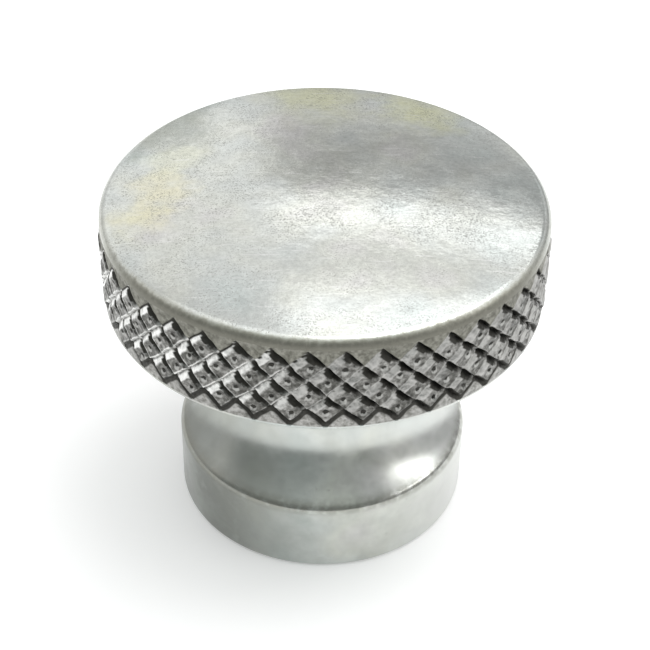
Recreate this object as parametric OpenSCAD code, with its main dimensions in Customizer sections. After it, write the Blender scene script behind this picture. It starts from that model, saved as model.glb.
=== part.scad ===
// Knurled mounting nut, turned in one piece from round bar and zinc plated.
// A crowned head with a diamond-knurled rim stands on a waisted neck and a
// short collar, and a blind threaded hole runs up from the underside.
// Millimetres. +Z is up, and the origin is the centre of the collar's end face.

/* [Head] */
// Diameter over the knurled rim
head_d = 25.4; // [22:0.1:32]
// Rise of the crowned top face above its own edge
crown_h = 0.6; // [0.2:0.1:1.2]
// Rounding of the rim's top edge
top_edge_r = 0.6; // [0.3:0.05:1]
// Rounding of the rim's lower edge
low_edge_r = 0.2; // [0.15:0.05:0.6]

/* [Knurl] */
// Diamonds counted once round the rim
knurl_count = 42; // [32:1:54]
// Rows of whole diamonds, one above the other at half steps
knurl_rows = 4; // [3:1:6]
// Angle of the knurl's grooves to the axis
knurl_angle = 45; // [38:1:50]
// Depth of a groove below the tips of the diamonds
knurl_depth = 0.42; // [0.2:0.02:0.6]
// Share of the knurl's pitch that one groove takes up
knurl_groove = 0.36; // [0.2:0.02:0.6]
// Sink in the middle of each diamond, inside its raised edge
knurl_sink = 0.12; // [0.02:0.02:0.16]
// How far the knurl stands above the plain rim
knurl_lift = 0.1; // [0.06:0.02:0.16]
// Plain strip left above and below the knurl
knurl_margin = 0.2; // [0.16:0.02:0.5]

/* [Neck and collar] */
// Diameter of the collar that the nut stands on
collar_d = 17.4; // [16:0.1:20]
// Height of the collar, up to the start of the neck's hollow
collar_h = 4.7; // [3.5:0.1:7]
// Rounding where the collar turns into the neck
collar_edge_r = 0.7; // [0.3:0.1:1.2]
// Rounding of the collar's bottom edge
base_edge_r = 0.4; // [0.2:0.1:0.8]
// Diameter at the waist of the neck
neck_d = 12.4; // [12:0.1:13.6]
// Height of the neck, from the collar to the underside of the head
neck_h = 9.8; // [9.5:0.1:14]

/* [Threaded hole] */
// Nominal diameter of the screw thread
thread_d = 8; // [5:0.5:8]
// Pitch of the screw thread
thread_pitch = 1.25; // [0.8:0.05:1.25]
// Depth of the hole, to where the drill's point starts
hole_depth = 12; // [8:0.5:12]
// Bevel at the mouth of the hole
mouth_bevel = 0.9; // [0.4:0.1:1.2]

/* [Hidden] */
finish = [0.72, 0.74, 0.73];
$fn = 120;

head_r = head_d / 2;
// The turned blank is a little smaller than the knurl, which raises the metal.
blank_r = head_r - knurl_lift;
collar_r = collar_d / 2;
neck_r = neck_d / 2;

// The lattice of the knurl: its pitch round the rim and up the rim.
knurl_pitch = PI * head_d / knurl_count;
knurl_rise = knurl_pitch / tan(knurl_angle);
knurl_h = knurl_rise * (knurl_rows + 1) / 2;

// Heights, from the collar's end face up.
head_z = collar_h + neck_h;
knurl_z = head_z + low_edge_r + knurl_margin;
knurl_top_z = knurl_z + knurl_h;
edge_z = knurl_top_z + knurl_margin;

// The crown is part of a ball that the top edge's rounding runs into.
crown_r = (blank_r * blank_r + crown_h * crown_h) / (2 * crown_h);
crown_z = edge_z - sqrt(pow(crown_r - top_edge_r, 2) - pow(blank_r - top_edge_r, 2));
nut_h = crown_z + crown_r;

// The neck's hollow is one arc between the collar and the head.
hollow_in = collar_r - neck_r;
hollow_r = (pow(neck_h / 2, 2) + hollow_in * hollow_in) / (2 * hollow_in);
hollow_at = [neck_r + hollow_r, collar_h + neck_h / 2];
collar_edge_at = [
    collar_r - collar_edge_r,
    hollow_at[1] - sqrt(pow(hollow_r + collar_edge_r, 2)
        - pow(hollow_at[0] - collar_r + collar_edge_r, 2))
];

// Past the knurl's ends its grooves run out, and then a plain strip laps over the blank.
run_out_h = 0.4 * knurl_margin;
lap_h = 0.8 * knurl_margin;

// The knurled band fills a shallow recess of the blank, with some metal under its grooves.
groove_floor = 0.2;
recess_r = head_r - knurl_depth - groove_floor;
recess_end = (run_out_h + lap_h) / 2;
recess_z = knurl_z - recess_end;
recess_h = knurl_h + 2 * recess_end;

// Drill for the thread, and its point.
drill_d = thread_d - thread_pitch;
point_angle = 118;
point_h = drill_d / 2 / tan(point_angle / 2);

// One corner of the outline, from the direction a0 to a1, cut back to its rounding.
module corner_cut(at, r, a0, a1) {
    mid = (a0 + a1) / 2;
    translate(at)
        polygon([
            [0, 0],
            2 * r * [cos(a0), sin(a0)],
            3 * r * [cos(mid), sin(mid)],
            2 * r * [cos(a1), sin(a1)]
        ]);
}

module rounding(at, r) {
    translate(at)
        circle(r = r);
}

// The turned outline, from the axis outwards.
module outline() {
    base_at = [collar_r - base_edge_r, base_edge_r];
    top_at = [blank_r - top_edge_r, edge_z];
    low_at = [blank_r - low_edge_r, head_z + low_edge_r];
    crown_side = atan2(edge_z - crown_z, blank_r - top_edge_r);
    hollow_side = atan2(hollow_at[1] - collar_edge_at[1], hollow_at[0] - collar_edge_at[0]);
    difference() {
        union() {
            difference() {
                square([collar_r, head_z]);
                translate(hollow_at)
                    circle(r = hollow_r);
                corner_cut(base_at, base_edge_r, -90, 0);
                corner_cut(collar_edge_at, collar_edge_r, 0, hollow_side);
            }
            rounding(base_at, base_edge_r);
            rounding(collar_edge_at, collar_edge_r);
            difference() {
                intersection() {
                    translate([0, head_z])
                        square([blank_r, nut_h - head_z + 1]);
                    translate([0, crown_z])
                        circle(r = crown_r);
                }
                corner_cut(top_at, top_edge_r, 0, crown_side);
                corner_cut(low_at, low_edge_r, -90, 0);
            }
            rounding(top_at, top_edge_r);
            rounding(low_at, low_edge_r);
        }
        translate([recess_r, recess_z])
            square([head_r - recess_r + 1, recess_h]);
    }
}

// A point of the knurl: a counts diamonds round the rim, and z is its height.
function rim_point(a, z, r) = [
    r * cos(360 * a / knurl_count),
    r * sin(360 * a / knurl_count),
    z
];

// A point of the lattice: b counts diamonds down from the knurl's top.
function knurl_point(a, b, r) = rim_point(a, knurl_top_z - b * knurl_rise, r);

// The knurled band. Grooves cross in rows, every second row half a pitch on.
// Each diamond has four flanks and a sunken top, and half diamonds run out into plain strips.
module knurl() {
    n = knurl_count;
    last = knurl_rows + 1;
    half = 0.5 - knurl_groove / 2;
    root_r = head_r - knurl_depth;
    heart_r = head_r - knurl_sink;
    strip_r = (head_r + blank_r) / 2;
    stations = [-0.5, -half, 0, half];
    strip_z = [
        [knurl_top_z + run_out_h, knurl_top_z + lap_h],
        [knurl_z - run_out_h, knurl_z - lap_h]
    ];

    function centre(m, k) = k + ((m + 1) % 2) / 2;
    function row(side) = side * last;

    crossings = [for (m = [0:last], k = [0:n - 1]) knurl_point(k + (m % 2) / 2, m / 2, root_r)];
    diamonds = [
        for (m = [1:last - 1], k = [0:n - 1], i = [0:4])
            let (a = centre(m, k), b = m / 2)
                i == 0 ? knurl_point(a, b - half, head_r)
                : i == 1 ? knurl_point(a - half, b, head_r)
                : i == 2 ? knurl_point(a, b + half, head_r)
                : i == 3 ? knurl_point(a + half, b, head_r)
                : knurl_point(a, b, heart_r)
    ];
    halves = [
        for (side = [0, 1], k = [0:n - 1], i = [0:3])
            let (a = centre(row(side), k), b = row(side) / 2)
                i == 0 ? knurl_point(a, b + (side == 0 ? half : -half), head_r)
                : knurl_point(a + stations[i], b, head_r)
    ];
    strips = [
        for (side = [0, 1], level = [0, 1], k = [0:n - 1], i = [0:3])
            rim_point(centre(row(side), k) + stations[i], strip_z[side][level], strip_r)
    ];
    hubs = [for (side = [0, 1]) [0, 0, strip_z[side][1]]];

    diamond_0 = len(crossings);
    half_0 = diamond_0 + len(diamonds);
    strip_0 = half_0 + len(halves);
    hub_0 = strip_0 + len(strips);

    function crossing(m, k) = m * n + (k + n) % n;
    function west(m, k) = crossing(m, k - m % 2);
    function east(m, k) = crossing(m, k + 1 - m % 2);
    function diamond(m, k, i) = diamond_0 + 5 * ((m - 1) * n + k) + i;
    function half_diamond(side, k, i) = half_0 + 4 * (side * n + k) + i;
    function strip(side, level, j) = strip_0 + 4 * n * (2 * side + level) + j % (4 * n);
    function facing(side, f) = side == 0 ? f : [f[2], f[1], f[0]];
    function quad(p, q, r, s) = [[p, q, r], [p, r, s]];

    diamond_faces = [
        for (m = [1:last - 1], k = [0:n - 1], i = [0:3])
            let (
                root = [crossing(m - 1, k), west(m, k), crossing(m + 1, k), east(m, k)],
                j = (i + 1) % 4,
                here = diamond(m, k, i),
                next = diamond(m, k, j)
            )
                each concat(
                    quad(root[i], here, next, root[j]),
                    [[here, diamond(m, k, 4), next]]
                )
    ];
    half_faces = [
        for (side = [0, 1], k = [0:n - 1])
            let (
                m = row(side),
                root = crossing(side == 0 ? 1 : last - 1, k),
                tip = half_diamond(side, k, 0),
                edge = [
                    west(m, k),
                    half_diamond(side, k, 1),
                    half_diamond(side, k, 2),
                    half_diamond(side, k, 3),
                    east(m, k)
                ],
                flanks = concat(
                    quad(edge[0], edge[1], tip, root),
                    quad(edge[3], edge[4], root, tip),
                    [[edge[1], edge[2], tip], [edge[2], edge[3], tip]]
                ),
                run_out = [
                    for (i = [0:3])
                        let (j = 4 * k + i)
                            each quad(strip(side, 0, j), strip(side, 0, j + 1), edge[i + 1], edge[i])
                ]
            )
                each [for (f = concat(flanks, run_out)) facing(side, f)]
    ];
    strip_faces = [
        for (side = [0, 1], j = [0:4 * n - 1])
            let (
                outer = [strip(side, 1, j), strip(side, 1, j + 1)],
                inner = [strip(side, 0, j), strip(side, 0, j + 1)],
                wall = quad(outer[0], outer[1], inner[1], inner[0]),
                end = [hub_0 + side, outer[1], outer[0]]
            )
                each [for (f = concat(wall, [end])) facing(side, f)]
    ];

    polyhedron(
        points = concat(crossings, diamonds, halves, strips, hubs),
        faces = concat(diamond_faces, half_faces, strip_faces),
        convexity = 10
    );
}

// The hole: tapping drill, its point, and the bevelled mouth.
module hole() {
    mouth_d = drill_d + 2 * mouth_bevel;
    translate([0, 0, -1])
        cylinder(h = hole_depth + 1, d = drill_d);
    translate([0, 0, hole_depth])
        cylinder(h = point_h, d1 = drill_d, d2 = 0);
    translate([0, 0, -1])
        cylinder(h = 1 + mouth_bevel, d1 = mouth_d + 2, d2 = drill_d);
}

module mounting_nut() {
    color(finish)
        difference() {
            union() {
                rotate_extrude()
                    outline();
                knurl();
            }
            hole();
        }
}

mounting_nut();
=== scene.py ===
import math

import bmesh
import bpy
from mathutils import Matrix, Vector, noise


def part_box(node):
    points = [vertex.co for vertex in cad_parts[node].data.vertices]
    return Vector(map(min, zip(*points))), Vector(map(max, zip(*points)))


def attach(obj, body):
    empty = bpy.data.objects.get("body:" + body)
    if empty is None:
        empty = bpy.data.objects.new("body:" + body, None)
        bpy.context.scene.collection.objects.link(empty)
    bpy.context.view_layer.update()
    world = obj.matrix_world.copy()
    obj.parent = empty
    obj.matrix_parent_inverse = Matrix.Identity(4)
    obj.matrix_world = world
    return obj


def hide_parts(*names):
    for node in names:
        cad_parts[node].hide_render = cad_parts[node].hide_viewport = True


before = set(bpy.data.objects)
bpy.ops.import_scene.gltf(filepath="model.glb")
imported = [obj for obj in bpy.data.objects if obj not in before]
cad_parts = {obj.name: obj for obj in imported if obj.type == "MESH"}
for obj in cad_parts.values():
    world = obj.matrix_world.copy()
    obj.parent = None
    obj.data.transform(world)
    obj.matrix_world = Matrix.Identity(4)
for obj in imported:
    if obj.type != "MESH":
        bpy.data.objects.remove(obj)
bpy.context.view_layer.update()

# The shank is the lower half of the turned steel blank: a plain collar that the nut stands on and
# a neck hollowed with a round-nosed tool, up to the low edge of the head.
# It is zinc plated and passed through a clear dip, which leaves faint green and yellow tints.
mm = 0.001
head_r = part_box("mounting_nut")[1].x
blank_r = head_r - 0.1 * mm
low_edge_r = 0.2 * mm
collar_r = 8.7 * mm
collar_h = 4.7 * mm
collar_edge_r = 0.7 * mm
base_edge_r = 0.4 * mm
neck_r = 6.2 * mm
neck_h = 9.8 * mm
head_z = collar_h + neck_h
mouth_r = 4.275 * mm
base_ring_r = mouth_r + 2 * mm
under_ring_r = collar_r + 1.5 * mm
rim_steps = 504
merge_gap = 0.0005 * mm


def arc(centre, radius, start, end, steps):
    """Points of an arc in the outline's plane, from one angle to another in degrees."""
    angles = [math.radians(start + (end - start) * i / steps) for i in range(steps + 1)]
    return [(centre[0] + radius * math.cos(a), centre[1] + radius * math.sin(a)) for a in angles]


def bearing(start, end):
    """The direction from one point of the outline to another, in degrees from 0 to 360."""
    return math.degrees(math.atan2(end[1] - start[1], end[0] - start[0])) % 360


def turned(name, outline, steps):
    """Draws an outline point by point and spins it round the axis, as a lathe does."""
    bpy.ops.object.select_all(action="DESELECT")
    bpy.ops.mesh.primitive_circle_add(vertices=3, radius=mm)
    piece = bpy.context.object
    piece.name = name
    bpy.ops.object.mode_set(mode="EDIT")
    bpy.ops.mesh.select_all(action="SELECT")
    bpy.ops.mesh.merge(type="CENTER")
    bpy.ops.transform.translate(value=(outline[0][0], 0, outline[0][1]))
    for here, there in zip(outline, outline[1:]):
        step = (there[0] - here[0], 0, there[1] - here[1])
        bpy.ops.mesh.extrude_region_move(TRANSFORM_OT_translate={"value": step})
    bpy.ops.mesh.select_all(action="SELECT")
    bpy.ops.mesh.spin(steps=steps, angle=2 * math.pi, center=(0, 0, 0), axis=(0, 0, 1))
    bpy.ops.mesh.select_all(action="SELECT")
    bpy.ops.mesh.remove_doubles(threshold=merge_gap)
    bpy.ops.object.mode_set(mode="OBJECT")
    return piece


hollow_in = collar_r - neck_r
hollow_r = ((neck_h / 2) ** 2 + hollow_in**2) / (2 * hollow_in)
hollow_at = (neck_r + hollow_r, collar_h + neck_h / 2)
hollow_top = (collar_r, head_z)
collar_edge_x = collar_r - collar_edge_r
collar_edge_drop = math.sqrt((hollow_r + collar_edge_r) ** 2 - (hollow_at[0] - collar_edge_x) ** 2)
collar_edge_at = (collar_edge_x, hollow_at[1] - collar_edge_drop)
hollow_start, hollow_end = bearing(hollow_at, collar_edge_at), bearing(hollow_at, hollow_top)
base_at = (collar_r - base_edge_r, base_edge_r)
low_at = (blank_r - low_edge_r, head_z + low_edge_r)

shank_outline = [(mouth_r, 0), (base_ring_r, 0)]
shank_outline += arc(base_at, base_edge_r, -90, 0, steps=6)
shank_outline += [(collar_r, collar_h / 2)]
shank_outline += arc(collar_edge_at, collar_edge_r, 0, bearing(collar_edge_at, hollow_at), steps=8)
shank_outline += arc(hollow_at, hollow_r, hollow_start, hollow_end, steps=28)[1:]
shank_outline += [(under_ring_r, head_z)]
shank_outline += arc(low_at, low_edge_r, -90, 0, steps=5)
shank = turned("shank", shank_outline, rim_steps)


def put(tree, kind, sockets=None, **settings):
    """Adds a node and gives each named socket a number, a colour or another node's output."""
    node = tree.nodes.new("ShaderNode" + kind)
    for name, value in settings.items():
        setattr(node, name, value)
    for name, value in (sockets or {}).items():
        if isinstance(value, bpy.types.NodeSocket):
            tree.links.new(value, node.inputs[name])
        else:
            node.inputs[name].default_value = value
    return node


def calc(tree, operation, first, second=0.0):
    """A Math node's result."""
    return put(tree, "Math", {0: first, 1: second}, operation=operation).outputs[0]


def ease(tree, value, start, end, low=0.0, high=1.0):
    """A smooth step from one level to another as a value passes between two marks."""
    sockets = {"Value": value, "From Min": start, "From Max": end, "To Min": low, "To Max": high}
    return put(tree, "MapRange", sockets, interpolation_type="SMOOTHSTEP").outputs["Result"]


def ramp(tree, value, stops):
    """A Color Ramp's colour, from a list of places and colours."""
    node = put(tree, "ValToRGB", {"Fac": value})
    elements = node.color_ramp.elements
    while len(elements) < len(stops):
        elements.new(0.5)
    for element, (place, colour) in zip(elements, stops):
        element.position = place
        element.color = (*colour, 1)
    return node.outputs["Color"]


def blend(tree, share, first, second, kind="MIX"):
    """A Mix node's colour: the second over the first by a share."""
    node = put(tree, "Mix", {0: share, 6: first, 7: second}, data_type="RGBA", blend_type=kind)
    return node.outputs[2]


def clouds(tree, place, size, detail=3):
    """Soft noise with patches of about the given size."""
    sockets = {"Vector": place, "Scale": 1 / size, "Detail": detail, "Roughness": 0.6}
    return put(tree, "TexNoise", sockets).outputs["Fac"]


def bump(tree, height, strength, depth, **under):
    """A Bump node's normal, over another one's where it is given as Normal."""
    sockets = {"Height": height, "Strength": strength, "Distance": depth, **under}
    return put(tree, "Bump", sockets).outputs[0]


def metal(name):
    """A bare metal, with its node tree and shader."""
    material = bpy.data.materials.new(name)
    material.use_nodes = True
    shader = material.node_tree.nodes["Principled BSDF"]
    shader.inputs["Metallic"].default_value = 1
    return material, material.node_tree, shader.inputs


def group_of(name, outputs):
    """An empty shader group with the outputs that are asked for."""
    group = bpy.data.node_groups.new(name, "ShaderNodeTree")
    for label, kind in outputs.items():
        group.interface.new_socket(label, in_out="OUTPUT", socket_type=kind)
    return group, group.nodes.new("NodeGroupOutput").inputs


dip_size = 6 * mm
dip_tints = [
    (0.32, (0.625, 0.67, 0.65)),
    (0.46, (0.655, 0.68, 0.655)),
    (0.58, (0.675, 0.69, 0.64)),
    (0.70, (0.675, 0.67, 0.655)),
]
mottle_size = 0.9 * mm
mottle_tones = [(0.35, (0.93, 0.93, 0.93)), (0.64, (1.04, 1.04, 1.04))]
plating, plating_out = group_of("plating_tint", {"Tint": "NodeSocketColor"})
place = put(plating, "TexCoord").outputs["Object"]
dip = ramp(plating, clouds(plating, place, dip_size, 2), dip_tints)
mottle = ramp(plating, clouds(plating, place, mottle_size, 4), mottle_tones)
plating.links.new(blend(plating, 1.0, dip, mottle, "MULTIPLY"), plating_out["Tint"])

patch_size = 2.2 * mm
handled_tones = [(0.35, (0.745, 0.750, 0.742)), (0.65, (0.90, 0.902, 0.90))]
# Painted light: this lighter zinc is painted over the right side of the shank.
right_side_light = (0.68, 0.69, 0.67, 1)
right_light_x = (1 * mm, 8 * mm)
# Painted shade: this dark colour is painted in patches over the lower left of the shank.
left_side_shade = (0.24, 0.25, 0.23, 1)
left_shade_x, left_shade_z = (1 * mm, -7 * mm), (12 * mm, 4 * mm)
grey_cloud = (0.46, 0.48, 0.46, 1)
speck_size = 0.5 * mm
# Painted shade along the crease where the neck meets the collar, and the colour of dark specks of dirt.
shoulder_shade_and_dirt = (0.24, 0.24, 0.21, 1)
shoulder_shade_reach = (0.55 * mm, 0.05 * mm)
dimple_size = 1.1 * mm
dimple_depth = 0.008 * mm

satin, tree, shader = metal("zinc_satin")
place = put(tree, "TexCoord").outputs["Object"]
sides = put(tree, "SeparateXYZ", {0: place}).outputs
patches = clouds(tree, place, patch_size)
colour = put(tree, "Group", node_tree=plating).outputs["Tint"]
colour = blend(tree, 1.0, colour, ramp(tree, patches, handled_tones), "MULTIPLY")
# Painted light: the shank is painted lighter towards its right side.
colour = blend(tree, ease(tree, sides["X"], *right_light_x, 0.0, 0.6), colour, right_side_light)
# Painted shade: the lower left of the shank is painted darker, in patches.
stain_and_shade = calc(tree, "MULTIPLY", ease(tree, sides["X"], *left_shade_x), ease(tree, sides["Z"], *left_shade_z))
stain_and_shade = calc(tree, "MULTIPLY", stain_and_shade, ease(tree, patches, 0.25, 0.6, 0.75, 1.0))
colour = blend(tree, stain_and_shade, colour, left_side_shade)
colour = blend(tree, ease(tree, patches, 0.58, 0.75, 0.0, 0.35), colour, grey_cloud)
# Painted shade: a dark line is painted in the crease where the neck meets the collar, and dark specks of
# dirt are scattered over the whole shank as well.
from_shoulder = calc(tree, "ABSOLUTE", calc(tree, "SUBTRACT", sides["Z"], collar_h))
specks = clouds(tree, place, speck_size, 4)
shade_and_specks = ease(tree, from_shoulder, *shoulder_shade_reach)
shade_and_specks = calc(tree, "MULTIPLY", shade_and_specks, ease(tree, specks, 0.3, 0.6, 0.2, 0.75))
shade_and_specks = calc(tree, "MAXIMUM", shade_and_specks, ease(tree, specks, 0.66, 0.76, 0.0, 0.35))
colour = blend(tree, shade_and_specks, colour, shoulder_shade_and_dirt)
tree.links.new(colour, shader["Base Color"])
tree.links.new(ease(tree, patches, 0.35, 0.65, 0.19, 0.26), shader["Roughness"])
tree.links.new(bump(tree, clouds(tree, place, dimple_size), 0.4, dimple_depth), shader["Normal"])
shank.data.materials.append(satin)

# The crown is the top of the head, turned slightly domed, with its edge rounded over to the rim.
# Its plating is polished by years of fingers, which have left it speckled with fine pits and
# hairline scratches, and grimy at the edge, where painted shade darkens the grime towards the front.
knurl_count = 42
knurl_rows = 4
knurl_margin = 0.2 * mm
knurl_pitch = 2 * math.pi * head_r / knurl_count
knurl_rise = knurl_pitch
knurl_z = head_z + low_edge_r + knurl_margin
knurl_top_z = knurl_z + knurl_rise * (knurl_rows + 1) / 2
edge_z = knurl_top_z + knurl_margin
crown_rise = 0.6 * mm
top_edge_r = 0.6 * mm
crown_r = (blank_r**2 + crown_rise**2) / (2 * crown_rise)
crown_at = (0, edge_z - math.sqrt((crown_r - top_edge_r) ** 2 - (blank_r - top_edge_r) ** 2))
top_at = (blank_r - top_edge_r, edge_z)
crown_side = bearing(crown_at, top_at)
crown_outline = arc(top_at, top_edge_r, 0, crown_side, steps=10)
crown_outline += arc(crown_at, crown_r, crown_side, 90, steps=12)[1:]
crown = turned("crown", crown_outline, rim_steps)

pit_size = 0.10 * mm
pit_patch_size = 2.0 * mm
hair_size = 1.5 * mm
hair_stretch = (0.9, 14, 0.9)
wear, wear_out = group_of("fine_wear", {"Pits": "NodeSocketFloat", "Scratches": "NodeSocketFloat"})
place = put(wear, "TexCoord").outputs["Object"]
pits = ease(wear, clouds(wear, place, pit_size, 2), 0.53, 0.64)
pit_patches = ease(wear, clouds(wear, place, pit_patch_size), 0.38, 0.60, 0.25, 1.0)
wear.links.new(calc(wear, "MULTIPLY", pits, pit_patches), wear_out["Pits"])
scratches = 0.0
for turn in (35, -20, 80):
    lie = {"Rotation": (0, 0, math.radians(turn)), "Location": (turn * mm, 0, 0), "Scale": hair_stretch}
    drawn = put(wear, "Mapping", {"Vector": place, **lie}).outputs[0]
    hair = clouds(wear, drawn, hair_size, 0)
    scratches = calc(wear, "MAXIMUM", ease(wear, hair, 0.77, 0.81), scratches)
wear.links.new(scratches, wear_out["Scratches"])


def stray(tree, place, size, reach):
    """Noise that strays to both sides of nothing, by about the given reach from end to end."""
    return calc(tree, "MULTIPLY", calc(tree, "SUBTRACT", clouds(tree, place, size), 0.5), reach)


dip_stain_z = 20.7 * mm
dip_stains = (
    ((-0.5, 10.8), 4.4, 0.85, (0.70, 0.71, 0.49, 1)),
    ((5.8, 9.4), 3.6, 0.85, (0.72, 0.73, 0.48, 1)),
    ((-9.0, 0.2), 2.6, 0.65, (0.78, 0.735, 0.52, 1)),
    ((-10.2, -2.4), 2.4, 0.65, (0.76, 0.73, 0.50, 1)),
    ((-8.4, 3.6), 2.4, 0.45, (0.76, 0.76, 0.58, 1)),
)
grain_size = 0.22 * mm
grain_tones = [(0.36, (0.93, 0.93, 0.93)), (0.5, (1.0, 1.0, 1.0)), (0.66, (1.08, 1.08, 1.08))]
pit_grey = (0.26, 0.26, 0.24, 1)
scratch_white = (0.85, 0.85, 0.84, 1)
# Painted shade: the grime round the crown's edge is painted darker towards the front, and darkest at the
# very edge.
front_shade_y = (-3 * mm, -9 * mm)
grime_and_shade_colour = (0.40, 0.395, 0.34, 1)
grime_shade_from, grime_shade_full = blank_r - 0.45 * mm, blank_r - 0.12 * mm
rim_dirt_and_shade = (0.20, 0.197, 0.168, 1)
rim_dirt_shade_from = blank_r - 0.28 * mm
haze_size = 2 * mm
swell_size, swell_depth = 4.3 * mm, 0.02 * mm
ripple_size, ripple_depth = 0.8 * mm, 0.009 * mm
tooth_depth = 0.003 * mm

worn, tree, shader = metal("zinc_worn")
place = put(tree, "TexCoord").outputs["Object"]
sides = put(tree, "SeparateXYZ", {0: place}).outputs
wear_marks = put(tree, "Group", node_tree=wear).outputs
colour = put(tree, "Group", node_tree=plating).outputs["Tint"]
wander = stray(tree, place, 2.6 * mm, 6 * mm)
for (x, y), size, strength, dipped in dip_stains:
    middle = (x * mm, y * mm, dip_stain_z)
    far = put(tree, "VectorMath", {0: place, 1: middle}, operation="DISTANCE").outputs["Value"]
    stain_and_shade = ease(tree, calc(tree, "ADD", far, wander), size * mm, 0.0, 0.0, strength)
    colour = blend(tree, stain_and_shade, colour, dipped)
grain = clouds(tree, place, grain_size)
colour = blend(tree, 1.0, colour, ramp(tree, grain, grain_tones), "MULTIPLY")
colour = blend(tree, calc(tree, "MULTIPLY", wear_marks["Pits"], 0.6), colour, pit_grey)
colour = blend(tree, calc(tree, "MULTIPLY", wear_marks["Scratches"], 0.40), colour, scratch_white)
level = put(tree, "CombineXYZ", {0: sides["X"], 1: sides["Y"]}).outputs[0]
out_r = put(tree, "VectorMath", {0: level}, operation="LENGTH").outputs["Value"]
out_r = calc(tree, "ADD", out_r, stray(tree, place, 0.3 * mm, 0.3 * mm))
# The edge band is real grime all round, and painted shade makes it darker towards the front.
front_shade = ease(tree, sides["Y"], *front_shade_y, 0.35, 1.0)
grime_and_shade = calc(tree, "MULTIPLY", ease(tree, out_r, grime_shade_from, grime_shade_full), front_shade)
colour = blend(tree, grime_and_shade, colour, grime_and_shade_colour)
at_rim = calc(tree, "MULTIPLY", ease(tree, out_r, rim_dirt_shade_from, blank_r), front_shade)
colour = blend(tree, at_rim, colour, rim_dirt_and_shade)
tree.links.new(colour, shader["Base Color"])
haze = ease(tree, clouds(tree, place, haze_size), 0.35, 0.65, 0.08, 0.13)
haze = calc(tree, "ADD", haze, calc(tree, "MULTIPLY", wear_marks["Pits"], 0.10))
haze = calc(tree, "ADD", haze, calc(tree, "MULTIPLY", grime_and_shade, 0.40))
tree.links.new(haze, shader["Roughness"])
swell = bump(tree, clouds(tree, place, swell_size, 1), 1.0, swell_depth)
ripple = bump(tree, clouds(tree, place, ripple_size, 4), 1.0, ripple_depth, Normal=swell)
grit = calc(tree, "SUBTRACT", grain, wear_marks["Pits"])
tree.links.new(bump(tree, grit, 0.5, tooth_depth, Normal=ripple), shader["Normal"])
crown.data.materials.append(worn)

# The hole is drilled up into the steel from the collar's end and tapped M8, and its mouth is bevelled.
# The thread runs right-handed and fades out above the last full turn, near the drill's point.
thread_pitch = 1.25 * mm
thread_r = 4 * mm
thread_flat = 0.1
drill_r = thread_r - thread_pitch / 2
drill_half_angle = math.radians(59)
hole_depth = 12 * mm
point_h = drill_r / math.tan(drill_half_angle)
mouth_z = mouth_r - drill_r
run_out = 1.5 * thread_pitch
rows_per_turn = 12
wall_rows = round((hole_depth - mouth_z) / thread_pitch * rows_per_turn)
wall_step = (hole_depth - mouth_z) / wall_rows
mouth_cuts = 3
hole_outline = [(mouth_r, 0)]
hole_outline += [(drill_r, mouth_z + wall_step * i) for i in range(wall_rows + 1)]
hole_outline += [(0, hole_depth + point_h)]
hole = turned("hole", hole_outline, rim_steps // (mouth_cuts + 1))


def between(value, low, high):
    """0 below the low end, 1 above the high end and an even slope between them."""
    return max(0, min(1, (value - low) / (high - low)))


for vertex in hole.data.vertices:
    x, y, z = vertex.co
    if mouth_z <= z < hole_depth - 0.5 * wall_step:
        turn = (z / thread_pitch - math.atan2(y, x) / (2 * math.pi)) % 1
        cut = between(1 - abs(2 * turn - 1), thread_flat, 1 - thread_flat)
        fade = min(1, (hole_depth - z) / run_out)
        radius = drill_r + (thread_r - drill_r) * cut * fade
        vertex.co = (x * radius / math.hypot(x, y), y * radius / math.hypot(x, y), z)
bpy.ops.object.mode_set(mode="EDIT")
bpy.ops.mesh.select_mode(type="EDGE")
bpy.ops.mesh.select_all(action="DESELECT")
bpy.ops.mesh.select_non_manifold()
bpy.ops.mesh.subdivide(number_cuts=mouth_cuts)
bpy.ops.object.mode_set(mode="OBJECT")
for vertex in hole.data.vertices:
    if vertex.select:
        vertex.co *= mouth_r / vertex.co.length

swarf_size = 0.4 * mm
swarf_tones = [(0.35, (0.45, 0.45, 0.43)), (0.65, (0.85, 0.85, 0.83))]
tapped, tree, shader = metal("zinc_tapped")
place = put(tree, "TexCoord").outputs["Object"]
tint = put(tree, "Group", node_tree=plating).outputs["Tint"]
swarf = ramp(tree, clouds(tree, place, swarf_size), swarf_tones)
tree.links.new(blend(tree, 1.0, tint, swarf, "MULTIPLY"), shader["Base Color"])
shader["Roughness"].default_value = 0.34
hole.data.materials.append(tapped)

# The grip is a diamond knurl, rolled into the steel rim by two hardened wheels with crossed teeth.
# The teeth press V grooves and push the metal up into a ridge round each diamond, and a pit is left
# in its middle. The grooves run out in a zigzag at the plain strips, and they hold old dirt, with
# painted shade in the grooves and pits and a painted highlight along the ridges.
cell_steps = 12
groove_depth = 0.36 * mm
crossing_depth = 0.17 * mm
face_sink = 0.06 * mm
strip_sink = head_r - blank_r
flush = 0.001 * mm
row_gap = 0.002 * mm
band_share = 0.8
band_top = knurl_top_z + band_share * knurl_margin
band_low = knurl_z - band_share * knurl_margin
last_b = (knurl_rows + 1) / 2
luck_seed = 1
noise.seed_set(luck_seed)

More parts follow.
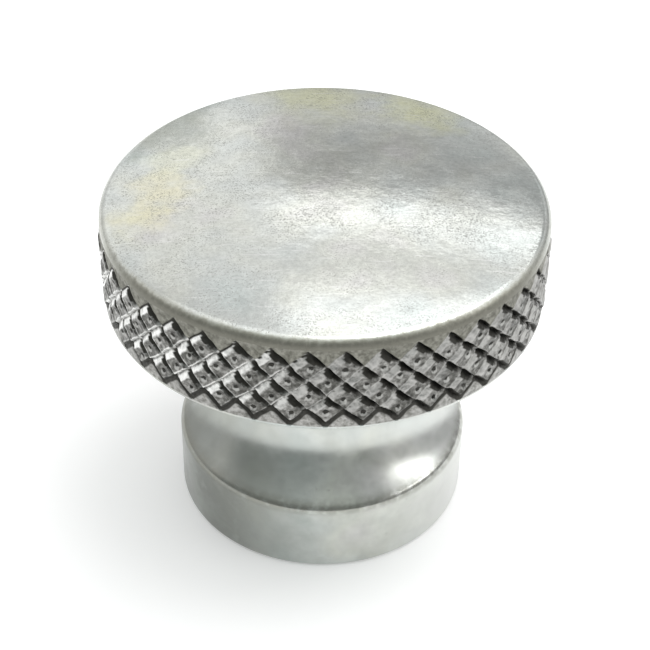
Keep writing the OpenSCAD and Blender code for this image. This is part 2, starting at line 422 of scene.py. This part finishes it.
# A place in a diamond is given by s and t, which run across its two pairs of grooves from -0.5 to 0.5.
# The grid's lines stand closer where the skin bends, and each groove has its own width on either side.
s_places = [-0.5, -0.41, -0.32, -0.23, -0.16, -0.08, 0, 0.08, 0.17, 0.26, 0.34, 0.41, 0.5]
t_places = [-0.5, -0.45, -0.41, -0.34, -0.22, -0.12, -0.04, 0.04, 0.12, 0.20, 0.28, 0.38, 0.5]
s_low, s_high = 0.27, 0.09
t_low, t_high = 0.09, 0.30
s_luck, t_luck = 0.2, 0.25
t_narrowing = 0.6
low_row_spread = 1.5
ridge_end = 1.3
top_end, low_end = 0.08, 0.2
pit_depth = 0.1 * mm
pit_r = 0.15
pit_floor_r = 0.2 * pit_r
pit_at, lip_at = (0.06, -0.06), (0.12, -0.12)
pit_luck = 0.25
far_from_pit = 1.0


def falling_groove(s):
    """How deep the grooves that fall to the right are pressed: deep at each top, then fading."""
    pressed = between(s, -0.5, -0.38) * between(s, 0.5, 0.2)
    return crossing_depth + (groove_depth - crossing_depth) * pressed


def distance(s, t, mark_at, luck):
    """How far a place in a diamond is from its pit or its lip, which sit where luck put them."""
    return math.hypot(s - mark_at[0] - pit_luck * luck.x, t - mark_at[1] - pit_luck * luck.y)


def diamond_skin(s, t, luck, lowest):
    """How deep a diamond's skin is at a place, its dirt and painted shade, its rubbing and painted
    highlight, and how far its pit and lip are.
    """
    fading = between(s, 0.48, 0.12)
    spread = low_row_spread if lowest else 1
    t_taper = (1 - t_narrowing * between(s, -0.4, 0.5)) * (1 + t_luck * luck.x)
    to_s = (0.5 + s) / (s_low * (1 + s_luck * luck.y)) if s < 0 else (0.5 - s) / (s_high * spread)
    to_t = (0.5 + t) / (t_low * spread) if t < 0 else (0.5 - t) / (t_high * t_taper)
    under_s, under_t = crossing_depth * (1 - to_s), falling_groove(s) * (1 - to_t)
    if max(under_s, under_t) < flush:
        # The ridges are rubbed bright, and this share is also a painted highlight along them.
        ridge_s = between(to_s, ridge_end, 1.0) * (0.8 if s > 0 else 0.4)
        ridge_t = between(to_t, ridge_end, 1.0) * 0.5
        pit_far, lip_far = distance(s, t, pit_at, luck), distance(s, t, lip_at, luck)
        under = face_sink * min(1, to_s - 1, to_t - 1) + pit_depth * between(pit_far, pit_r, pit_floor_r)
        return under, 0, max(ridge_s, ridge_t), pit_far, lip_far
    # The lowest row's downward flanks are filled with dirt and painted shade.
    if lowest and (t < 0 and under_t >= under_s or s > 0 and under_s > under_t):
        return max(under_s, under_t), 1, 0, far_from_pit, far_from_pit
    # The falling grooves hold dirt and painted shade, strongest near each top and on the upper flank.
    if under_t >= under_s:
        dirt_and_shade = fading * (1 if t > 0 else 0.8) * between(s, -0.5, -0.42)
        return under_t, dirt_and_shade, 0.5 * (1 - fading), far_from_pit, far_from_pit
    # The crossing grooves' flanks get some dirt and painted shade on one side, and rubbing with a
    # painted highlight on both.
    return under_s, 0.25 if s > 0 else 0, 0.3 if s > 0 else 0.7, far_from_pit, far_from_pit


def strip_skin(beside, beyond, falling, width):
    """The same for the plain strip, whose teeth end the grooves in a zigzag."""
    wall = between(beyond, width, 0)
    depth = falling_groove(beside) if falling else crossing_depth
    # The strip's walls at the groove ends get dirt and painted shade.
    return strip_sink + (depth - strip_sink) * wall, min(1, 2.5 * wall), 0, far_from_pit, far_from_pit


def knurl_skin(a, b):
    """The same for any place on the band, counted in diamonds along the rim and down from the tops."""
    top_a, low_a = a - math.floor(a) - 0.5, a - round(a)
    if b < abs(top_a) and b < 1:
        return strip_skin(2 * top_a - 0.5, abs(top_a) - b, top_a > 0, top_end)
    if last_b - b < abs(low_a) and b > 1:
        return strip_skin(0.5 + 2 * low_a, abs(low_a) - (last_b - b), low_a < 0, low_end)
    s_cell, t_cell = round(a + b), round(a - b)
    luck = noise.noise_vector(Vector((s_cell % knurl_count + 0.37, (s_cell - t_cell) * 7.31, 0.5)))
    return diamond_skin(a + b - s_cell, a - b - t_cell, luck, s_cell - t_cell == knurl_rows)


def diamond_row(row):
    """One row of diamonds, laid out flat: a grid stood on its corner, then repeated."""
    bpy.ops.object.select_all(action="DESELECT")
    bpy.ops.mesh.primitive_grid_add(x_subdivisions=cell_steps, y_subdivisions=cell_steps, size=1)
    piece = bpy.context.object
    first_a = (0.5 if row % 2 == 1 else 0) - knurl_count / 2
    lattice = piece.data.uv_layers.active
    lattice.name = "knurl"
    spots = []
    for vertex in piece.data.vertices:
        s = s_places[round((vertex.co.x + 0.5) * cell_steps)]
        t = t_places[round((vertex.co.y + 0.5) * cell_steps)]
        spots.append((first_a + row / 2 + s, first_a - row / 2 + t))
        along, up = (first_a + (s + t) / 2) * knurl_pitch, knurl_top_z - (row + s - t) / 2 * knurl_rise
        vertex.co = (along, 0, up)
    for loop in piece.data.loops:
        lattice.data[loop.index].uv = spots[loop.vertex_index]
    repeat = piece.modifiers.new("repeat", "ARRAY")
    repeat.count = knurl_count
    repeat.use_relative_offset = False
    repeat.use_constant_offset = True
    repeat.constant_offset_displace = (knurl_pitch, 0, 0)
    repeat.offset_u = 1
    repeat.offset_v = 1
    bpy.ops.object.modifier_apply(modifier="repeat")
    return piece


def trimmed(piece, height, keep_below):
    """Cuts a row along the end of the knurl's band and keeps the side towards the knurl."""
    bpy.ops.object.mode_set(mode="EDIT")
    bpy.ops.mesh.select_all(action="SELECT")
    bpy.ops.mesh.bisect(plane_co=(0, 0, height), plane_no=(0, 0, 1), threshold=merge_gap,
                        clear_inner=not keep_below, clear_outer=keep_below)
    bpy.ops.object.mode_set(mode="OBJECT")
    return piece


def joined(pieces, name):
    """Makes several pieces one object."""
    bpy.ops.object.select_all(action="DESELECT")
    for piece in pieces:
        piece.select_set(True)
    bpy.context.view_layer.objects.active = pieces[0]
    bpy.ops.object.join()
    whole = bpy.context.object
    whole.name = name
    return whole


def merge_rows():
    """Merges the points where the rows of diamonds meet."""
    bpy.ops.object.mode_set(mode="EDIT")
    bpy.ops.mesh.select_all(action="SELECT")
    bpy.ops.mesh.remove_doubles(threshold=row_gap)
    bpy.ops.object.mode_set(mode="OBJECT")


rows = [trimmed(diamond_row(row), band_top, True) for row in (-1, 0)]
rows += [diamond_row(row) for row in range(1, knurl_rows + 1)]
rows += [trimmed(diamond_row(row), band_low, False) for row in (knurl_rows + 1, knurl_rows + 2)]
knurl = joined(rows, "knurl")
merge_rows()

# The band is pressed and wrapped round the rim, and no two diamonds come out quite alike.
# The marks kept on the knurl's points: dirt with painted shade, rubbing with a painted highlight, and
# how far the pit and its lip are.
skin_marks = ("dirt_and_shade", "rub_and_highlight", "pit_far", "lip_far")
settle_h = 0.3 * mm
wave_size, wave_rise = 0.9 * mm, 0.04 * mm
burr_size, burr_rise = 0.25 * mm, 0.03 * mm
drift_size, drift_reach = 0.8 * mm, 0.09 * mm
for mark in skin_marks:
    knurl.data.attributes.new(mark, "FLOAT", "POINT")
skin_values = [knurl.data.attributes[mark].data for mark in skin_marks]
for vertex in knurl.data.vertices:
    along, z = vertex.co.x, vertex.co.z
    under, *values = knurl_skin(along / knurl_pitch, (knurl_top_z - z) / knurl_rise)
    for kept, value in zip(skin_values, values):
        kept[vertex.index].value = value
    turn = along / head_r
    spot = Vector((math.sin(turn), -math.cos(turn), z / head_r)) * head_r
    settle = between(min(band_top - z, z - band_low), 0, settle_h)
    rise = noise.noise(spot / wave_size) * wave_rise + noise.noise(spot / burr_size) * burr_rise
    drift = noise.noise_vector(spot / drift_size) * drift_reach * settle
    radius = min(head_r, head_r - under + rise * settle)
    turn += drift.x / head_r
    vertex.co = (math.sin(turn) * radius, -math.cos(turn) * radius, z + drift.z)
merge_rows()

rag_size = 0.28 * mm
dark_grey, pale_grey = (0.11, 0.109, 0.103, 1), (0.20, 0.197, 0.19, 1)
speckle_tones = [(0.34, (0.45, 0.45, 0.43)), (0.50, (1.0, 1.0, 0.98)), (0.66, (2.0, 2.0, 2.0))]
top_strip_tones = [(0.36, (0.15, 0.148, 0.125)), (0.64, (0.31, 0.306, 0.27))]
low_strip_tones = [(0.36, (0.17, 0.168, 0.155)), (0.64, (0.42, 0.415, 0.40))]
# Painted light: the rubbed metal is painted much lighter on the left side of the knurl.
left_light_x = {"From Min": -10 * mm, "From Max": 10 * mm}
bare_and_left_light_tones = [
    (0.1, (0.95, 0.95, 0.93)),
    (0.3, (0.80, 0.80, 0.78)),
    (0.45, (0.46, 0.455, 0.44)),
    (0.9, (0.46, 0.455, 0.44)),
]
# Groove dirt, darkened further as painted shade.
groove_dirt_and_shade = (0.04, 0.039, 0.034, 1)
lip_glint = (0.50, 0.50, 0.48, 1)
# Painted shade: the pits are painted nearly black.
pit_shade = (0.025, 0.024, 0.021, 1)
burr_depth = 0.06 * mm


def kept_mark(tree, mark):
    """A value that was kept on the points of the skin."""
    return put(tree, "Attribute", attribute_name=mark).outputs["Fac"]


gripped, tree, shader = metal("zinc_knurl")
place = put(tree, "TexCoord").outputs["Object"]
lattice = put(tree, "UVMap", uv_map="knurl").outputs[0]
lattice = put(tree, "VectorMath", {0: lattice, 1: (0.5, 0.5, 0)}, operation="ADD").outputs[0]
cell = put(tree, "VectorMath", {0: lattice}, operation="FLOOR").outputs[0]
lot = put(tree, "TexWhiteNoise", {"Vector": cell}).outputs["Value"]
corners = put(tree, "SeparateXYZ", {0: cell}).outputs
cell_row = calc(tree, "SUBTRACT", corners["X"], corners["Y"])
on_top = calc(tree, "LESS_THAN", cell_row, 0.5)
on_low = calc(tree, "GREATER_THAN", cell_row, knurl_rows + 0.5)
rag = clouds(tree, place, rag_size, 4)
ragged = calc(tree, "SUBTRACT", rag, 0.5)
colour = blend(tree, lot, dark_grey, pale_grey)
colour = blend(tree, 1.0, colour, ramp(tree, rag, speckle_tones), "MULTIPLY")
colour = blend(tree, on_top, colour, ramp(tree, rag, top_strip_tones))
colour = blend(tree, on_low, colour, ramp(tree, rag, low_strip_tones))
across = put(tree, "SeparateXYZ", {0: place}).outputs["X"]
bare_and_left_light = ramp(tree, put(tree, "MapRange", {"Value": across, **left_light_x}).outputs[0], bare_and_left_light_tones)
# Painted highlight on the ridges and flanks, partly real rubbing, and painted lighter on the left side.
rubbed_and_lit = calc(tree, "ADD", kept_mark(tree, "rub_and_highlight"), calc(tree, "MULTIPLY", ragged, 0.8))
colour = blend(tree, ease(tree, rubbed_and_lit, 0.1, 0.95), colour, bare_and_left_light)
# Dirt in the grooves, with painted shade on their flanks.
dirty_and_shaded = calc(tree, "ADD", kept_mark(tree, "dirt_and_shade"), calc(tree, "MULTIPLY", ragged, 0.5))
dirt_and_shade = ease(tree, dirty_and_shaded, 0.25, 0.85)
colour = blend(tree, calc(tree, "MULTIPLY", dirt_and_shade, 0.92), colour, groove_dirt_and_shade)
glint = ease(tree, kept_mark(tree, "lip_far"), 0.16, 0.10)
colour = blend(tree, calc(tree, "MULTIPLY", glint, 0.6), colour, lip_glint)
# Painted shade in each pit.
pit_far = calc(tree, "ADD", kept_mark(tree, "pit_far"), calc(tree, "MULTIPLY", ragged, 0.2))
pit = ease(tree, pit_far, 0.13, 0.09)
colour = blend(tree, calc(tree, "MULTIPLY", pit, 0.95), colour, pit_shade)
tree.links.new(colour, shader["Base Color"])
dull = calc(tree, "MAXIMUM", dirt_and_shade, on_top)
tree.links.new(ease(tree, dull, 0.0, 1.0, 0.30, 0.55), shader["Roughness"])
tree.links.new(bump(tree, rag, 1.0, burr_depth), shader["Normal"])
knurl.data.materials.append(gripped)

# Collar, neck, head and knurl are one piece of steel, so their skins are sewn together where they
# meet: at the two ends of the knurl and round the mouth of the hole.
near = 0.01 * mm
sharp_angle = math.radians(35)
nut = joined([shank, crown, hole, knurl], "nut")
bpy.ops.object.mode_set(mode="EDIT")
bpy.ops.mesh.select_mode(type="EDGE")


def pick_open_edges(low, high):
    """Selects the open edges between two heights."""
    bpy.ops.mesh.select_all(action="DESELECT")
    mesh = bmesh.from_edit_mesh(nut.data)
    for edge in mesh.edges:
        heights = [vertex.co.z for vertex in edge.verts]
        edge.select_set(edge.is_boundary and low - near < min(heights) and max(heights) < high + near)
    mesh.select_flush_mode()
    bmesh.update_edit_mesh(nut.data)


for turned_z, knurl_end_z in ((edge_z, band_top), (head_z + low_edge_r, band_low)):
    pick_open_edges(turned_z, turned_z)
    bpy.ops.mesh.subdivide(number_cuts=1)
    pick_open_edges(min(turned_z, knurl_end_z), max(turned_z, knurl_end_z))
    bpy.ops.mesh.bridge_edge_loops()
bpy.ops.mesh.select_all(action="SELECT")
bpy.ops.mesh.remove_doubles(threshold=merge_gap)
bpy.ops.mesh.normals_make_consistent(inside=False)
bpy.ops.object.mode_set(mode="OBJECT")
bpy.ops.object.shade_smooth_by_angle(angle=sharp_angle)

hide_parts("mounting_nut")
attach(nut, "root")

# The floor is a plain sheet of matt white paper, laid flat under the nut and wide enough to fill
# the view. It glows a little to the camera and to the metal, and keeps the nut's shadow.
floor_size = 4
paper_white = (0.85, 0.85, 0.85, 1)
paper_glow = 0.25
bpy.ops.object.select_all(action="DESELECT")
bpy.ops.mesh.primitive_plane_add(size=floor_size)
floor = bpy.context.object
floor.name = "floor"
paper = bpy.data.materials.new("white_sheet")
paper.use_nodes = True
tree = paper.node_tree
shader = tree.nodes["Principled BSDF"].inputs
shader["Base Color"].default_value = paper_white
shader["Roughness"].default_value = 0.9
shader["Emission Color"].default_value = (1, 1, 1, 1)
rays = put(tree, "LightPath").outputs
mirrored = calc(tree, "MAXIMUM", rays["Is Glossy Ray"], rays["Is Transmission Ray"])
seen = calc(tree, "MAXIMUM", rays["Is Camera Ray"], mirrored)
tree.links.new(calc(tree, "MULTIPLY", seen, paper_glow), shader["Emission Strength"])
floor.data.materials.append(paper)

# The light is a white room with a broad soft lamp overhead, a low wide one at the right, and walls
# of uneven brightness, darker in front and in one corner, which give the metal something to mirror.
room_level = 2.0
backdrop = (1 / room_level, 1 / room_level, 1 / room_level, 1)
front_tone = (0.95, 1.0, 0.98)
corner_colour = (0.29, 0.30, 0.29, 1)
corner_right, corner_left, corner_top = (-0.112, -0.135), (-0.30, -0.24), (0.463, 0.440)
world = bpy.data.worlds.new("studio")
bpy.context.scene.world = world
world.use_nodes = True
tree = world.node_tree
look = put(tree, "TexCoord").outputs["Generated"]
sides = put(tree, "SeparateXYZ", {0: look}).outputs


def wall(levels, tone=(1, 1, 1)):
    """A wall's brightness by height, from the floor's level at 0 to straight up at 1."""
    stops = [(height, [level / room_level * part for part in tone]) for height, level in levels]
    return ramp(tree, sides["Z"], stops)


back_left = wall([
    (0, 0.75), (0.36, 0.95), (0.42, 1.12), (0.60, 1.02), (0.655, 0.96),
    (0.69, 0.94), (0.715, 0.82), (0.76, 0.80), (0.82, 1.0), (1, 1.4),
])
back_right = wall([
    (0, 0.35), (0.34, 0.72), (0.40, 0.74), (0.45, 0.50), (0.545, 0.47), (0.578, 1.7),
    (0.61, 1.6), (0.65, 0.82), (0.68, 0.92), (0.73, 1.6), (1, 1.4),
])
front = wall([(0, 0.30), (0.12, 0.40), (0.5, 0.46), (0.8, 0.65), (1, 1.4)], front_tone)
right = wall([(0, 0.45), (0.28, 0.55), (0.42, 1.0), (0.7, 1.4), (1, 1.4)])
across = calc(tree, "DIVIDE", sides["X"], calc(tree, "MAXIMUM", sides["Y"], 0.05))
dark_corner = calc(tree, "MULTIPLY", ease(tree, across, *corner_right), ease(tree, across, *corner_left))
dark_corner = calc(tree, "MULTIPLY", dark_corner, ease(tree, sides["Z"], *corner_top))
back_left = blend(tree, calc(tree, "MULTIPLY", dark_corner, 0.85), back_left, corner_colour)
room = blend(tree, ease(tree, across, -0.10, -0.01), back_left, back_right)
room = blend(tree, ease(tree, sides["Y"], 0.1, -0.4), room, front)
room = blend(tree, ease(tree, sides["X"], 0.55, 0.8), room, right)
room = blend(tree, put(tree, "LightPath").outputs["Is Camera Ray"], room, backdrop)
background = tree.nodes["Background"].inputs
tree.links.new(room, background["Color"])
background["Strength"].default_value = room_level

lamp_aim = Vector((0, 0, 10 * mm))


def lamp(name, spot, width, height, power):
    """An oval soft lamp that shines at the nut."""
    light = bpy.data.lights.new(name, "AREA")
    light.shape = "ELLIPSE"
    light.size = width
    light.size_y = height
    light.energy = power
    holder = bpy.data.objects.new(name, light)
    holder.location = spot
    holder.rotation_euler = (Vector(spot) - lamp_aim).to_track_quat("Z", "Y").to_euler()
    bpy.context.scene.collection.objects.link(holder)


lamp("overhead_lamp", (0.09, 0.03, 0.30), width=0.20, height=0.20, power=0.35)
lamp("right_lamp", (0.24, -0.05, 0.13), width=0.16, height=0.04, power=0.06)

# The camera looks down on the front of the rim from close by, turned a little to the left and
# tilted by a degree, and its lens is long enough for the nut to fill the picture.
picture_px = 650
focal_px = 1600
aim = Vector((0.088, 0, 11.44)) * mm
camera_far = 94.7 * mm
height_angle = math.radians(38.6)
side_angle = math.radians(-90.95)
roll_angle = math.radians(0.93)
lens = bpy.data.cameras.new("camera")
lens.sensor_width = 36
lens.lens = lens.sensor_width * focal_px / picture_px
lens.clip_start = 0.005
lens.clip_end = 20
camera = bpy.data.objects.new("camera", lens)
bpy.context.scene.collection.objects.link(camera)
out = math.cos(height_angle)
away = Vector((out * math.cos(side_angle), out * math.sin(side_angle), math.sin(height_angle)))
camera.location = aim + camera_far * away
camera.rotation_euler = away.to_track_quat("Z", "Y").to_euler()
camera.rotation_euler.rotate_axis("Z", roll_angle)
bpy.context.scene.camera = camera
bpy.context.scene.view_settings.view_transform = "Standard"
